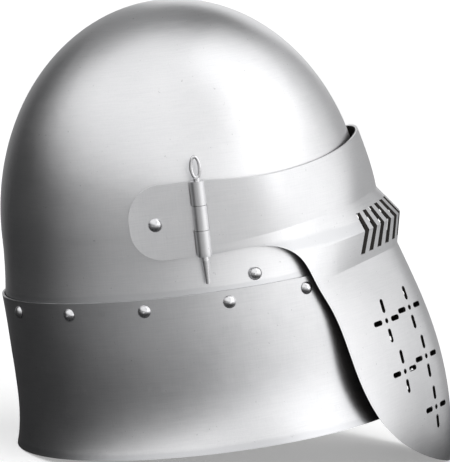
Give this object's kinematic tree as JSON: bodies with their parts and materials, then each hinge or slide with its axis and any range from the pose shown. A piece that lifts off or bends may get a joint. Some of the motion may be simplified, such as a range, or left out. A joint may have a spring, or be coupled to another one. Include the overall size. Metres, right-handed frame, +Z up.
{
  "type": "knight helmet",
  "caption": "Steel helmet with a riveted neck skirt, a lifting visor with sight slots and breathing crosses on two pivots, pull-out hinge pins, leather liner and chin strap.",
  "frame": {"origin": "centre of the bounding box on the surface that the closed helmet stands on, resting on its rear rim and visor tip", "axes": "+Z up, -Y to the front of the helmet, -X to the wearer's right"},
  "size_m": [0.239, 0.3401, 0.3269],
  "materials": {
    "skull_steel": "satin",
    "skirt_steel": "satin",
    "visor_steel": "satin",
    "rivet_steel": "polished",
    "pin_steel": "satin",
    "liner_leather": "matte",
    "strap_leather": "satin",
    "brass": "satin"
  },
  "bodies": {
    "helmet": {"buckle_frame": "brass", "buckle_prong": "brass", "chin_strap_buckle_side": "strap_leather", "chin_strap_rivets": "rivet_steel", "chin_strap_tongue_side": "strap_leather", "chin_strap_washers": "rivet_steel", "crown_disc": "liner_leather", "liner_band": "liner_leather", "liner_lobe_1": "liner_leather", "liner_lobe_2": "liner_leather", "liner_lobe_3": "liner_leather", "liner_lobe_4": "liner_leather", "liner_lobe_5": "liner_leather", "liner_lobe_6": "liner_leather", "liner_lobe_7": "liner_leather", "neck_skirt": "skirt_steel", "pivot_rivet_left": "rivet_steel", "pivot_rivet_right": "rivet_steel", "pivot_spacer_left": "rivet_steel", "pivot_spacer_right": "rivet_steel", "pivot_washer_left": "rivet_steel", "pivot_washer_right": "rivet_steel", "seam_rivet_washers": "rivet_steel", "seam_rivets": "rivet_steel", "skull": "skull_steel", "strap_keeper": "strap_leather"},
    "visor": {"visor_plate": "visor_steel", "hinge_leaf_right": "visor_steel", "hinge_leaf_left": "visor_steel"},
    "pin_right": {"hinge_pin_right": "pin_steel"},
    "pin_left": {"hinge_pin_left": "pin_steel"}
  },
  "joints": [
    {"name": "visor_lift", "type": "hinge", "parent": "helmet", "child": "visor", "pos_m": [0, 0.07118, 0.17699], "axis": [-1, 0, 0], "range_deg": [0, 80]},
    {"name": "hinge_pin_right_pull", "type": "slide", "parent": "visor", "child": "pin_right", "axis": [0, 0.173, 0.9849], "range_m": [0, 0.075]},
    {"name": "hinge_pin_left_pull", "type": "slide", "parent": "visor", "child": "pin_left", "axis": [0, 0.173, 0.9849], "range_m": [0, 0.075]}
  ]
}
